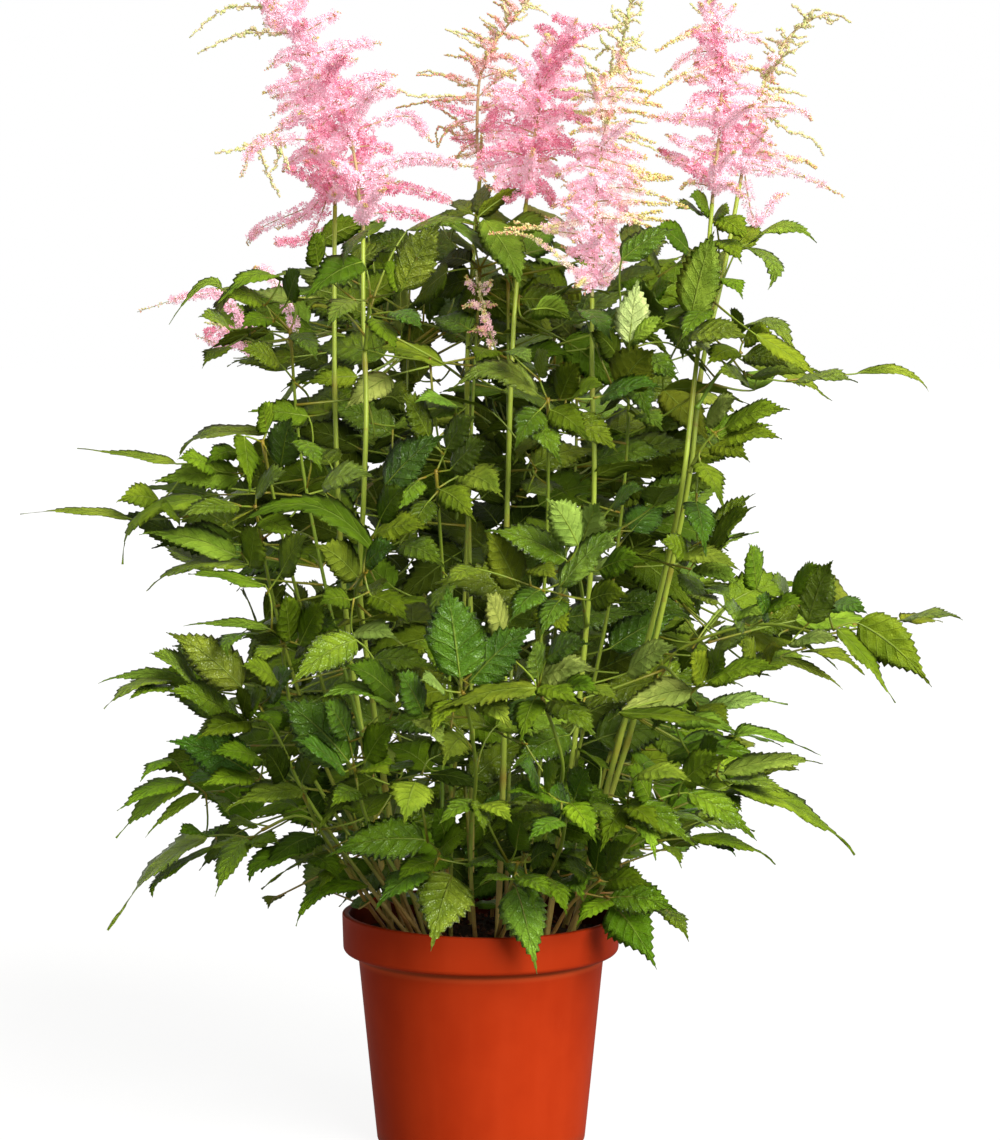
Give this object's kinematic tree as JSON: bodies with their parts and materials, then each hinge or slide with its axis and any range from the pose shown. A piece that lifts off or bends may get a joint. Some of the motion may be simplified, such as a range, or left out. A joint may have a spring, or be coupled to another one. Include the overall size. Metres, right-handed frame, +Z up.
{
  "type": "potted astilbe plant",
  "caption": "Flowering astilbe with feathery pink plumes over dense divided leaves, growing in soil in a round plastic nursery pot with a banded rim.",
  "frame": {"origin": "centre of the underside of the pot", "axes": "+Z up through the pot's axis, +X to the viewer's right, -Y towards the viewer"},
  "size_m": [0.6314, 0.5548, 0.799],
  "materials": {
    "pot": "satin injection-moulded plastic, terracotta red",
    "soil": "damp dark peat with crumbs",
    "stem": "smooth yellow-green stalk with reddish nodes",
    "leaf": "satin green, pinnate veins, sharply toothed edge",
    "pink_flower": "tiny soft pink florets",
    "cream_flower": "pale pink and cream opening florets",
    "flower_bud": "green to reddish unopened buds"
  },
  "bodies": {
    "root": {"pot": "pot", "soil": "soil", "flower_stem_1": "stem", "flower_stem_2": "stem", "flower_stem_3": "stem", "flower_stem_4": "stem", "flower_stem_5": "stem", "flower_stem_6": "stem", "flower_stem_7": "stem", "plume_1": "pink_flower", "plume_2": "pink_flower", "plume_3": "pink_flower", "plume_4": "flower_bud", "plume_5": "cream_flower", "plume_6": "pink_flower", "plume_7": "flower_bud", "side_plume_1": "cream_flower", "side_plume_2": "pink_flower", "leaf_01": "leaf", "leaf_02": "leaf", "leaf_03": "leaf", "leaf_04": "leaf", "leaf_05": "leaf", "leaf_06": "leaf", "leaf_07": "leaf", "leaf_08": "leaf", "leaf_09": "leaf", "leaf_10": "leaf", "leaf_11": "leaf", "leaf_12": "leaf", "leaf_13": "leaf", "leaf_14": "leaf", "leaf_15": "leaf", "leaf_16": "leaf", "leaf_17": "leaf", "leaf_18": "leaf", "leaf_19": "leaf", "leaf_20": "leaf", "leaf_21": "leaf", "leaf_22": "leaf", "leaf_23": "leaf", "leaf_24": "leaf", "leaf_25": "leaf", "leaf_26": "leaf", "leaf_27": "leaf", "leaf_28": "leaf", "leaf_29": "leaf", "leaf_30": "leaf", "leaf_31": "leaf", "leaf_32": "leaf", "leaf_33": "leaf", "leaf_34": "leaf", "leaf_35": "leaf", "leaf_36": "leaf", "leaf_37": "leaf", "leaf_38": "leaf", "leaf_39": "leaf", "leaf_40": "leaf", "leaf_41": "leaf"}
  },
  "joints": []
}
